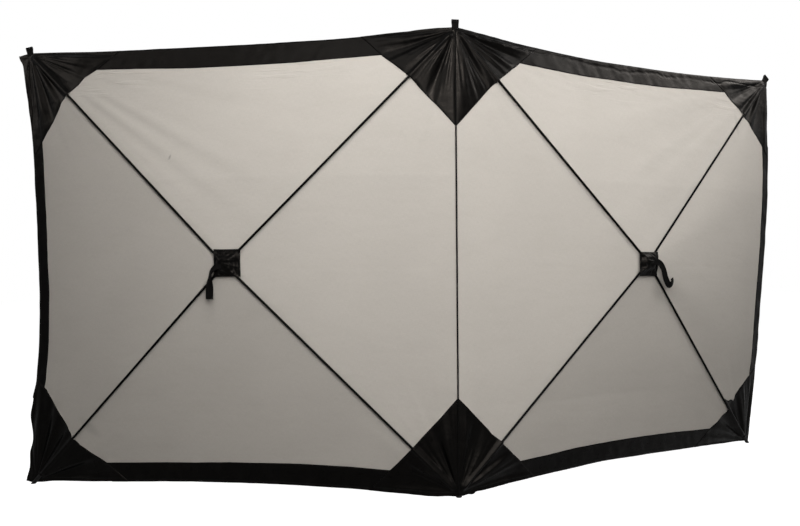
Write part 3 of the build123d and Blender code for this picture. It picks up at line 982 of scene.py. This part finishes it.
def hub_cover(panel, material):
    """The square cloth cover, drawn over the hub, its sockets and the rods."""
    shift_u, shift_v, scale = COVER_PLACES[panel.side]
    half = scale * bpy.context.scene.windbreak_cloth.cover_size / 2
    count = 80
    side = np.linspace(-half, half, count)
    x, y = np.meshgrid(side, side)
    hub_x, hub_y = x + shift_u, y + shift_v
    middle_u, middle_v = panel.width / 2, panel.height / 2
    cloth = panel.form(middle_u + hub_x, middle_v + hub_y)
    cloth += panel.field_folds(middle_u + hub_x, middle_v + hub_y)
    depth = cloth + 0.0009 + over_hub(panel, hub_x, hub_y) + cover_wrinkles(panel, x, y, half)
    pinch = 1 - 0.018 * np.cos(math.pi * y / half / 2) * abs(x / half) ** 6
    rise = 1 - 0.018 * np.cos(math.pi * x / half / 2) * abs(y / half) ** 6
    u = middle_u + shift_u + x * pinch
    v = middle_v + shift_v + y * rise
    stitch = np.stack([x + y, half - np.maximum(abs(x), abs(y))], axis=-1)
    name = f"{panel.side}_hub_cap"
    points = panel.place(u, v, depth)
    piece = mesh_object(name, points, grid_quads(count, count), material, panel.map(u, v), stitch)
    thicken(piece, COVER_THICKNESS)
    fit_out(piece, panel.body, "black_cloth", f"{panel.side}_hub_cover")
    return piece


def webbing_strip(name, centres, across, width, thickness, material):
    """A band of webbing along centres, with thick woven selvedges and finished ends."""
    run = unit(np.gradient(centres, axis=0))
    across = unit(across - (across * run).sum(axis=1, keepdims=True) * run)
    facing = np.cross(run, across)
    profile = np.array([*WEBBING_PROFILE, *((-x, -y) for x, y in WEBBING_PROFILE)]) / 2
    width = np.broadcast_to(width, (len(centres),))
    thickness = np.broadcast_to(thickness, (len(centres),))
    rings = centres[:, None] + across[:, None] * (profile[None, :, :1] * width[:, None, None])
    rings = rings + facing[:, None] * (profile[None, :, 1:] * thickness[:, None, None])
    count = len(profile)
    steps = np.concatenate([[0], np.cumsum(np.linalg.norm(np.diff(centres, axis=0), axis=1))])
    faces = []
    for ring in range(len(centres) - 1):
        for place in range(count):
            following = (place + 1) % count
            faces.append((ring * count + place, ring * count + following,
                          (ring + 1) * count + following, (ring + 1) * count + place))
    faces.append(tuple(range(count - 1, -1, -1)))
    faces.append(tuple(range((len(centres) - 1) * count, len(centres) * count)))
    uv = np.stack(np.broadcast_arrays(profile[None, :, 0] * width[:, None], steps[:, None]), axis=-1)
    piece = mesh_object(name, rings, faces, material, uv, uv)
    face_outward(piece)
    return piece


def pull_strap(panel, route, material):
    """The strap that pulls the hub: webbing out of the cover, hanging beside it."""
    sizes = bpy.context.scene.windbreak_cloth
    foot = panel.rise * (1 - sizes.cover_size / panel.width)
    rows = [(*place, math.radians(turn)) for place, turn in route]
    path = smooth_path(rows, 110)
    u, v, depth, turn = path.T
    centres = panel.place(panel.width / 2 + u, panel.height / 2 + v, foot + depth)
    flat = np.stack([u, v], axis=-1)
    run = unit(np.gradient(flat, axis=0))
    sideways = run[:, 1:] * panel.along - run[:, :1] * np.array([0, 0, 1])
    across = np.cos(turn)[:, None] * sideways + np.sin(turn)[:, None] * panel.front
    piece = webbing_strip(f"{panel.side}_pull_webbing", centres, across,
                          sizes.webbing_width, 0.0022, material)
    fit_out(piece, panel.body, "webbing", f"{panel.side}_pull_strap")
    return piece


def webbing_loop(name, foot, up, across, front, height, width, material):
    """A loop of webbing sewn in at its foot: narrow at the neck, with a fuller head."""
    head = 0.0042
    neck = 0.0016
    path = [(neck, -0.010), (neck, 0.0), (neck * 1.4, 0.35 * height), (head, 0.68 * height),
            (head * 0.85, 0.90 * height), (0.0, height - 0.0009)]
    path += [(-depth, rise) for depth, rise in path[-2::-1]]
    route = smooth_path(path, 84)
    centres = foot + route[:, :1] * front + route[:, 1:] * up
    fullness = 0.95 + 0.05 * smooth(0, 0.75 * height, route[:, 1])
    sides = np.broadcast_to(across, centres.shape)
    return webbing_strip(name, centres, sides, width * fullness, 0.0018, material)


def seam_tape(material):
    """The tape bound round both panels' edges, from the foot up to the top loop."""
    low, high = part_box("seam_binding")
    radius = (high.x - low.x) / 2 - TAPE_GAP
    rows, columns = 420, 20
    z = np.linspace(low.z + TAPE_GAP, high.z - TAPE_GAP, rows)[:, None]
    turn = np.linspace(0, 2 * math.pi, columns, endpoint=False)[None, :]
    ripple = 0.00022 * unevenness(z / 0.011, turn * 1.3, 7) + 0.0001 * np.sin(z * 2 * math.pi / 0.0045)
    size = radius + ripple
    points = np.stack(np.broadcast_arrays(size * np.cos(turn), size * np.sin(turn), z), axis=-1)
    index = np.arange(rows * columns).reshape(rows, columns)
    after = np.roll(index, -1, axis=1)
    faces = np.stack([index[:-1], after[:-1], after[1:], index[1:]], axis=-1).reshape(-1, 4)
    uv = np.stack(np.broadcast_arrays(turn * radius, z), axis=-1)
    piece = mesh_object("seam_tape", points, faces, material, uv, uv)
    thicken(piece, TAPE_THICKNESS, offset=-1)
    fit_out(piece, "left_panel", "seam_tape", "seam_binding")
    return piece


# ---------------------------------------------------------------- materials


def add(tree, kind, values=(), **settings):
    """A node of a kind, with its settings, and its inputs set to numbers or linked to sockets."""
    made = tree.nodes.new(kind)
    for name, value in settings.items():
        setattr(made, name, value)
    for key, value in dict(values).items():
        if isinstance(value, bpy.types.NodeSocket):
            tree.links.new(value, made.inputs[key])
        else:
            made.inputs[key].default_value = value
    return made


def new_material(name, roughness, specular, sheen=0.0, sheen_roughness=0.5, tint=(1, 1, 1, 1)):
    """A material with a plain shader, its node tree and the shader."""
    material = bpy.data.materials.new(name)
    material.use_nodes = True
    tree = material.node_tree
    shader = tree.nodes["Principled BSDF"]
    shader.inputs["Roughness"].default_value = roughness
    shader.inputs["Specular IOR Level"].default_value = specular
    shader.inputs["Sheen Weight"].default_value = sheen
    shader.inputs["Sheen Roughness"].default_value = sheen_roughness
    shader.inputs["Specular Tint"].default_value = tint
    return material, tree, shader


def noise(tree, place, scale, detail=3.0, roughness=0.5):
    """The output of a noise texture."""
    values = {"Vector": place, "Scale": scale, "Detail": detail, "Roughness": roughness}
    return add(tree, "ShaderNodeTexNoise", values).outputs["Fac"]


def stretched(tree, place, scale, turn=0.0):
    """A place, turned about its Z axis and scaled by a vector."""
    values = {"Vector": place, "Rotation": (0, 0, turn), "Scale": scale}
    return add(tree, "ShaderNodeMapping", values).outputs["Vector"]


def between(tree, value, low, high, to_low=0.0, to_high=1.0):
    """A value mapped from one range to another and kept in it."""
    values = {"Value": value, "From Min": low, "From Max": high, "To Min": to_low, "To Max": to_high}
    return add(tree, "ShaderNodeMapRange", values, interpolation_type="SMOOTHSTEP").outputs["Result"]


def math_node(tree, operation, first, second=0.0):
    """The result of a sum, product or other operation on two values."""
    return add(tree, "ShaderNodeMath", {0: first, 1: second}, operation=operation).outputs["Value"]


def colour_mix(tree, share, first, second, kind="MIX"):
    """Two colours mixed by a share."""
    mix = add(tree, "ShaderNodeMix", data_type="RGBA", blend_type=kind)
    for name, value in (("Factor_Float", share), ("A_Color", first), ("B_Color", second)):
        socket = next(one for one in mix.inputs if one.identifier == name)
        if isinstance(value, bpy.types.NodeSocket):
            tree.links.new(value, socket)
        else:
            socket.default_value = value
    return next(one for one in mix.outputs if one.identifier == "Result_Color")


def darkened(tree, colour, shade):
    """A colour multiplied by another."""
    return colour_mix(tree, 1.0, colour, shade, "MULTIPLY")


def cloth_map(tree):
    """The place on the cloth's own map."""
    return add(tree, "ShaderNodeUVMap", uv_map="Cloth").outputs["UV"]


def opaque(colour, shade=1.0):
    """A colour with its alpha, lightened or darkened."""
    return (*[min(1.0, part * shade) for part in colour], 1.0)


def weave(tree, place, thread):
    """The height of a plain weave, between 0 and 1: two sets of threads, over and under."""
    values = {"Vector": place, "Scale": 0.25 / (math.pi * thread)}
    warp = add(tree, "ShaderNodeTexWave", values, bands_direction="X").outputs["Fac"]
    weft = add(tree, "ShaderNodeTexWave", values, bands_direction="Y").outputs["Fac"]
    return math_node(tree, "MAXIMUM", warp, weft)


def stitches(tree, pitch=0.0042, row=0.0045):
    """1 on the stitches of a row that runs beside a sewn edge, 0 off them."""
    place = add(tree, "ShaderNodeUVMap", uv_map="Stitch").outputs["UV"]
    parts = add(tree, "ShaderNodeSeparateXYZ", {"Vector": place})
    cycle = math_node(tree, "FRACT", math_node(tree, "MULTIPLY", parts.outputs["X"], 1 / pitch))
    from_middle = math_node(tree, "ABSOLUTE", math_node(tree, "SUBTRACT", cycle, 0.5))
    dash = between(tree, from_middle, 0.30, 0.38, 1, 0)
    off = math_node(tree, "ABSOLUTE", math_node(tree, "SUBTRACT", parts.outputs["Y"], row))
    line = between(tree, off, 0.0003, 0.0007, 1, 0)
    return math_node(tree, "MULTIPLY", dash, line)


def bump(tree, shader, heights):
    """Bumps the shader by several (height, distance, strength), the broadest first."""
    normal = None
    for height, distance, strength in heights:
        values = {"Height": height, "Distance": distance, "Strength": strength}
        if normal is not None:
            values["Normal"] = normal
        normal = add(tree, "ShaderNodeBump", values).outputs["Normal"]
    tree.links.new(normal, shader.inputs["Normal"])


def dark_mark_and_painted_shade(tree, place, at, size, turn, shade):
    """A soft dark spot on a cloth's map, for real marks and for painted shade: white away from it, shade at
    its middle.
    """
    values = {"Vector": place, "Location": (*at, 0), "Rotation": (0, 0, turn), "Scale": (*size, 1)}
    local = add(tree, "ShaderNodeMapping", values, vector_type="TEXTURE").outputs["Vector"]
    away = add(tree, "ShaderNodeVectorMath", {0: local}, operation="LENGTH").outputs["Value"]
    return colour_mix(tree, between(tree, away, 0.25, 1.0), opaque((shade, shade, shade)), WHITE)


def pale_cloth_material():
    """Fine pale polyester: a soft mottle, faint rubs along the packing folds, and the weave."""
    colours = bpy.context.scene.windbreak_finishes
    material, tree, shader = new_material("pale_polyester", 0.78, 0.05, 0.15, 0.45)
    place = cloth_map(tree)
    patches = noise(tree, place, 3.2, 2.0, 0.45)
    blotches = noise(tree, stretched(tree, place, (7.0, 20.0, 9.0)), 1.0, 6.0, 0.70)
    threads = noise(tree, stretched(tree, place, (900.0, 60.0, 1.0)), 1.0, 2.0)
    slubs = noise(tree, stretched(tree, place, (60.0, 900.0, 1.0)), 1.0, 2.0)
    dark = opaque(colours.pale_cloth, 0.980)
    light = opaque(colours.pale_cloth, 1.01)
    colour = colour_mix(tree, between(tree, patches, 0.35, 0.68), dark, light)
    soil = opaque((0.975, 0.974, 0.970))
    colour = darkened(tree, colour, colour_mix(tree, between(tree, blotches, 0.42, 0.70), WHITE, soil))
    grain = math_node(tree, "ADD", threads, slubs)
    fine = colour_mix(tree, between(tree, grain, 0.75, 1.25), (0.93, 0.93, 0.93, 1), WHITE)
    colour = darkened(tree, colour, fine)
    # Darkens the colour at each mark; the last one is painted shade beside the right panel's top outer rod
    for at, size, turn, shade in PALE_MARKS_AND_PAINTED_SHADE:
        colour = darkened(tree, colour, dark_mark_and_painted_shade(tree, place, at, size, turn, shade))
    tree.links.new(colour, shader.inputs["Base Color"])
    crinkles = noise(tree, stretched(tree, place, (16.0, 34.0, 1.0), 0.3), 1.0, 4.0, 0.6)
    height = add(tree, "ShaderNodeSeparateXYZ", {"Vector": place}).outputs["Y"]
    drawn = noise(tree, stretched(tree, place, (5.0, 45.0, 1.0), -0.10), 1.0, 3.0, 0.5)
    here = between(tree, noise(tree, place, 2.4, 1.0), 0.45, 0.62)
    drawn = math_node(tree, "MULTIPLY", between(tree, drawn, 0.50, 0.62), between(tree, height, 1.56, 1.70))
    drawn = math_node(tree, "MULTIPLY", drawn, here)
    bump(tree, shader, [(drawn, 0.0036, 0.5), (crinkles, 0.0022, 0.35), (grain, 0.0001, 0.25),
                        (weave(tree, place, 0.00045), 0.00006, 0.35)])
    return material


def black_cloth_material():
    """Black satin polyester, whose pleats catch the light, with stitched edges."""
    colours = bpy.context.scene.windbreak_finishes
    material, tree, shader = new_material("black_polyester", 0.30, 0.022, 0.0, 0.35, (1.0, 0.93, 0.87, 1))
    place = cloth_map(tree)
    rub = noise(tree, stretched(tree, place, (26.0, 15.0, 1.0), 0.7), 1.0, 4.0, 0.6)
    threads = noise(tree, stretched(tree, place, (700.0, 70.0, 1.0)), 1.0, 2.0)
    colour = colour_mix(tree, between(tree, rub, 0.35, 0.75), opaque(colours.black_cloth, 0.7),
                        opaque(colours.black_cloth, 1.5))
    sewn = stitches(tree)
    colour = colour_mix(tree, sewn, colour, opaque(colours.thread))
    tree.links.new(colour, shader.inputs["Base Color"])
    gloss = between(tree, noise(tree, place, 40.0, 4.0, 0.6), 0.3, 0.7, 0.26, 0.36)
    tree.links.new(gloss, shader.inputs["Roughness"])
    crinkles = noise(tree, stretched(tree, place, (22.0, 44.0, 1.0), 0.9), 1.0, 4.0, 0.55)
    bump(tree, shader, [(crinkles, 0.0030, 0.35), (sewn, 0.0004, 0.6), (threads, 0.0001, 0.2),
                        (weave(tree, place, 0.0005), 0.00008, 0.3)])
    return material


def webbing_material(name="woven_webbing", rib=0.0016):
    """Woven webbing: slanted ribs across the band and closer selvedges."""
    colours = bpy.context.scene.windbreak_finishes
    material, tree, shader = new_material(name, 0.60, 0.010, 0.0, 0.40)
    place = cloth_map(tree)
    values = {"Vector": stretched(tree, place, (1, 1, 1), 0.6), "Scale": 0.5 / (math.pi * rib),
              "Distortion": 1.5, "Detail": 2.0, "Detail Scale": 3.0}
    ribs = add(tree, "ShaderNodeTexWave", values, bands_direction="Y").outputs["Fac"]
    fuzz = noise(tree, place, 900.0, 3.0)
    colour = colour_mix(tree, ribs, opaque(colours.webbing, 0.75), opaque(colours.webbing, 1.35))
    tree.links.new(colour, shader.inputs["Base Color"])
    bump(tree, shader, [(ribs, 0.0004, 0.6), (fuzz, 0.0001, 0.3)])
    return material


def solid_material(name, colour, roughness, specular, streaks, depth):
    """A moulded or drawn surface: small changes of shade and gloss, and a fine grain."""
    material, tree, shader = new_material(name, roughness, specular)
    place = add(tree, "ShaderNodeTexCoord").outputs["Object"]
    patches = noise(tree, place, 35.0, 4.0, 0.6)
    fine = noise(tree, place, streaks, 3.0, 0.6)
    shade = colour_mix(tree, between(tree, patches, 0.3, 0.7), opaque(colour, 0.8), opaque(colour, 1.35))
    tree.links.new(shade, shader.inputs["Base Color"])
    gloss = between(tree, fine, 0.3, 0.7, roughness - 0.08, roughness + 0.08)
    tree.links.new(gloss, shader.inputs["Roughness"])
    bump(tree, shader, [(fine, depth, 0.4)])
    return material


def floor_material():
    """A floor that shows white with a soft shadow near the windbreak, and is grey to bounced light."""
    studio = bpy.context.scene.windbreak_studio
    material = bpy.data.materials.new("floor")
    material.use_nodes = True
    tree = material.node_tree
    tree.nodes.remove(tree.nodes["Principled BSDF"])
    output = tree.nodes["Material Output"]
    grey = studio.floor_grey
    bounced = add(tree, "ShaderNodeBsdfDiffuse", {"Color": (grey, grey, grey, 1)})
    place = add(tree, "ShaderNodeTexCoord").outputs["Object"]
    away = add(tree, "ShaderNodeVectorMath", {0: place}, operation="LENGTH").outputs["Value"]
    near = add(tree, "ShaderNodeBsdfDiffuse", {"Color": (0.5, 0.5, 0.5, 1)})
    lift = add(tree, "ShaderNodeEmission", {"Color": WHITE})
    tree.links.new(between(tree, away, 0.8, 2.6, 0.90, 1.0), lift.inputs["Strength"])
    pale = add(tree, "ShaderNodeAddShader", {0: near.outputs[0], 1: lift.outputs[0]})
    mix = add(tree, "ShaderNodeMixShader",
              {0: shown_rays(tree), 1: bounced.outputs[0], 2: pale.outputs[0]})
    tree.links.new(mix.outputs[0], output.inputs["Surface"])
    return material


def shown_rays(tree):
    """1 for rays from the camera, a reflection or a transmission, and 0 for lighting."""
    path = add(tree, "ShaderNodeLightPath")
    camera = path.outputs["Is Camera Ray"]
    glossy = path.outputs["Is Glossy Ray"]
    through = path.outputs["Is Transmission Ray"]
    return math_node(tree, "MAXIMUM", math_node(tree, "MAXIMUM", camera, glossy), through)


def finish(name, make):
    """The material of that name, made if there is none yet."""
    return bpy.data.materials.get(name) or make()


# ---------------------------------------------------------------- operators


class WINDBREAK_OT_hardware(bpy.types.Operator):
    """Give the rods, hubs, rod tips and foot their finishes"""

    bl_idname = "windbreak.hardware"
    bl_label = "Rods and mouldings"

    def execute(self, context):
        colours = context.scene.windbreak_finishes
        rod = solid_material("rod_finish", colours.rod, 0.40, 0.015, 700.0, 0.00006)
        hub = solid_material("hub_finish", colours.moulding, 0.50, 0.06, 500.0, 0.0001)
        tip = solid_material("tip_finish", colours.moulding, 0.62, 0.05, 420.0, 0.00015)
        finishes = {"rod": rod, "hub": hub, "tip": tip, "foot": tip}
        for name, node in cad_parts.items():
            material = finishes.get(name.split("_")[-1])
            if material:
                node.data.materials.clear()
                node.data.materials.append(material)
        return {"FINISHED"}


class WINDBREAK_OT_fields(bpy.types.Operator):
    """Make the pale cloth field of each panel"""

    bl_idname = "windbreak.fields"
    bl_label = "Pale fields"

    def execute(self, context):
        material = finish("pale_polyester", pale_cloth_material)
        for side in SIDES:
            field_piece(ClothPanel(side), material)
        return {"FINISHED"}


class WINDBREAK_OT_hems(bpy.types.Operator):
    """Make the black hems along the top, bottom and outer edges"""

    bl_idname = "windbreak.hems"
    bl_label = "Hems"

    def execute(self, context):
        material = finish("black_polyester", black_cloth_material)
        for side in SIDES:
            panel = ClothPanel(side)
            level_hem(panel, "top_hem", material)
            level_hem(panel, "bottom_hem", material)
            side_hem(panel, material)
        return {"FINISHED"}


class WINDBREAK_OT_patches(bpy.types.Operator):
    """Make the corner patches that hold the rod ends"""

    bl_idname = "windbreak.patches"
    bl_label = "Corner patches"

    def execute(self, context):
        material = finish("black_polyester", black_cloth_material)
        for side in SIDES:
            panel = ClothPanel(side)
            for corner in CORNERS:
                corner_patch(panel, corner, material)
        return {"FINISHED"}


class WINDBREAK_OT_covers(bpy.types.Operator):
    """Make the square covers over the hubs"""

    bl_idname = "windbreak.covers"
    bl_label = "Hub covers"

    def execute(self, context):
        material = finish("black_polyester", black_cloth_material)
        for side in SIDES:
            hub_cover(ClothPanel(side), material)
        return {"FINISHED"}


class WINDBREAK_OT_straps(bpy.types.Operator):
    """Make the pull strap that hangs from each hub"""

    bl_idname = "windbreak.straps"
    bl_label = "Pull straps"

    def execute(self, context):
        material = finish("woven_webbing", webbing_material)
        pull_strap(ClothPanel("left"), LEFT_STRAP, material)
        pull_strap(ClothPanel("right"), RIGHT_STRAP, material)
        return {"FINISHED"}


class WINDBREAK_OT_loops(bpy.types.Operator):
    """Make the webbing loops on the seam's top and the outer top corners"""

    bl_idname = "windbreak.loops"
    bl_label = "Webbing loops"

    def execute(self, context):
        material = finish("woven_webbing", webbing_material)
        width = context.scene.windbreak_cloth.webbing_width
        low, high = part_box("seam_loop")
        foot = np.array([0, 0, low.z])
        upright = np.array([0, 0, 1])
        loop = webbing_loop("seam_webbing", foot, upright, np.array([1, 0, 0]), np.array([0, -1, 0]),
                            high.z - low.z, width, material)
        fit_out(loop, "left_panel", "webbing", "seam_loop")
        for side, (lean, breadth) in CORNER_LOOPS.items():
            panel = ClothPanel(side)
            up = unit(upright * math.cos(lean) + panel.along * math.sin(lean))
            across = unit(panel.along * math.cos(lean) - upright * math.sin(lean))
            corner = panel.place(panel.width, panel.height + 0.001, panel.twist)
            loop = webbing_loop(f"{side}_corner_webbing", corner, up, across, panel.front,
                                CORNER_LOOP_HEIGHT, width * breadth, material)
            fit_out(loop, panel.body, "webbing", f"{side}_corner_loop")
        return {"FINISHED"}


class WINDBREAK_OT_seam(bpy.types.Operator):
    """Make the tape that binds the panels' shared seam"""

    bl_idname = "windbreak.seam"
    bl_label = "Seam tape"

    def execute(self, context):
        seam_tape(webbing_material("woven_tape", 0.0010))
        return {"FINISHED"}


class WINDBREAK_OT_studio(bpy.types.Operator):
    """Make the floor, the lights and the camera"""

    bl_idname = "windbreak.studio"
    bl_label = "Studio"

    def execute(self, context):
        studio = context.scene.windbreak_studio
        points = [(-30, -30, 0), (30, -30, 0), (30, 30, 0), (-30, 30, 0)]
        floor = mesh_object("floor", points, [(0, 1, 2, 3)], floor_material())
        floor.location.z = -0.0005
        self.light_world(context.scene, studio.ambient)
        sizes = {"key": studio.key_size, "side": studio.side_size,
                 "left": studio.side_size, "back": studio.key_size}
        for name, size in sizes.items():
            power = getattr(studio, f"{name}_power")
            place = getattr(studio, f"{name}_place")
            self.hang_light(context.scene, f"{name}_light", power, place, size)
        for name, (power, place, size) in GLOSS_LIGHTS.items():
            light = self.hang_light(context.scene, name, power * studio.gloss, place, size)
            light.data.color = GLOSS_COLOUR
            light.visible_diffuse = False
        self.place_camera(context.scene, studio)
        context.scene.view_settings.view_transform = "Standard"
        return {"FINISHED"}

    def hang_light(self, scene, name, power, place, size):
        """A soft light that faces the windbreak and doesn't show itself."""
        lamp = bpy.data.lights.new(name, "AREA")
        lamp.shape = "RECTANGLE"
        lamp.size, lamp.size_y = size
        lamp.energy = power
        light = bpy.data.objects.new(name, lamp)
        scene.collection.objects.link(light)
        light.location = place
        aim = Vector(LIGHT_AIM) - Vector(place)
        light.rotation_euler = aim.to_track_quat("-Z", "Y").to_euler()
        light.visible_camera = False
        return light

    def light_world(self, scene, ambient):
        """White to the camera and to reflections, and an even grey as light."""
        world = bpy.data.worlds.new("studio")
        scene.world = world
        world.use_nodes = True
        tree = world.node_tree
        shown = shown_rays(tree)
        strength = between(tree, shown, 0.0, 1.0, ambient, 1.0)
        tree.links.new(strength, tree.nodes["Background"].inputs["Strength"])
        tree.nodes["Background"].inputs["Color"].default_value = WHITE

    def place_camera(self, scene, studio):
        """The camera, turned by its heading, pitch and roll."""
        lens = bpy.data.cameras.new("camera")
        lens.lens = studio.lens
        lens.sensor_width = 36
        lens.shift_x, lens.shift_y = studio.shift
        camera = bpy.data.objects.new("camera", lens)
        scene.collection.objects.link(camera)
        turn = Matrix.Rotation(-studio.heading, 4, "Z")
        turn = turn @ Matrix.Rotation(math.pi / 2 + studio.pitch, 4, "X")
        turn = turn @ Matrix.Rotation(studio.roll, 4, "Z")
        camera.location = studio.camera_place
        camera.rotation_euler = turn.to_euler()
        scene.camera = camera


class WINDBREAK_PT_sidebar(bpy.types.Panel):
    """The windbreak's pieces and settings in the sidebar"""

    bl_label = "Windbreak"
    bl_idname = "WINDBREAK_PT_sidebar"
    bl_space_type = "VIEW_3D"
    bl_region_type = "UI"
    bl_category = "Windbreak"

    def draw(self, context):
        for operator in OPERATORS:
            self.layout.operator(operator.bl_idname)
        for group in GROUPS:
            box = self.layout.box()
            settings = getattr(context.scene, group)
            for name in settings.__annotations__:
                box.prop(settings, name)


OPERATORS = (
    WINDBREAK_OT_studio,
    WINDBREAK_OT_hardware,
    WINDBREAK_OT_fields,
    WINDBREAK_OT_hems,
    WINDBREAK_OT_patches,
    WINDBREAK_OT_covers,
    WINDBREAK_OT_straps,
    WINDBREAK_OT_loops,
    WINDBREAK_OT_seam,
)
GROUPS = {
    "windbreak_cloth": WindbreakClothSizes,
    "windbreak_finishes": WindbreakFinishes,
    "windbreak_studio": WindbreakStudio,
}


def register():
    """Registers the settings, the operators and the sidebar."""
    for name, group in GROUPS.items():
        bpy.utils.register_class(group)
        setattr(bpy.types.Scene, name, PointerProperty(type=group))
    for operator in OPERATORS:
        bpy.utils.register_class(operator)
    bpy.utils.register_class(WINDBREAK_PT_sidebar)


def unregister():
    """Takes back what register did."""
    bpy.utils.unregister_class(WINDBREAK_PT_sidebar)
    for operator in reversed(OPERATORS):
        bpy.utils.unregister_class(operator)
    for name, group in GROUPS.items():
        delattr(bpy.types.Scene, name)
        bpy.utils.unregister_class(group)


def main():
    """Makes the windbreak and its studio."""
    register()
    for operator in OPERATORS:
        family, name = operator.bl_idname.split(".")
        getattr(getattr(bpy.ops, family), name)()


if __name__ == "__main__":
    main()
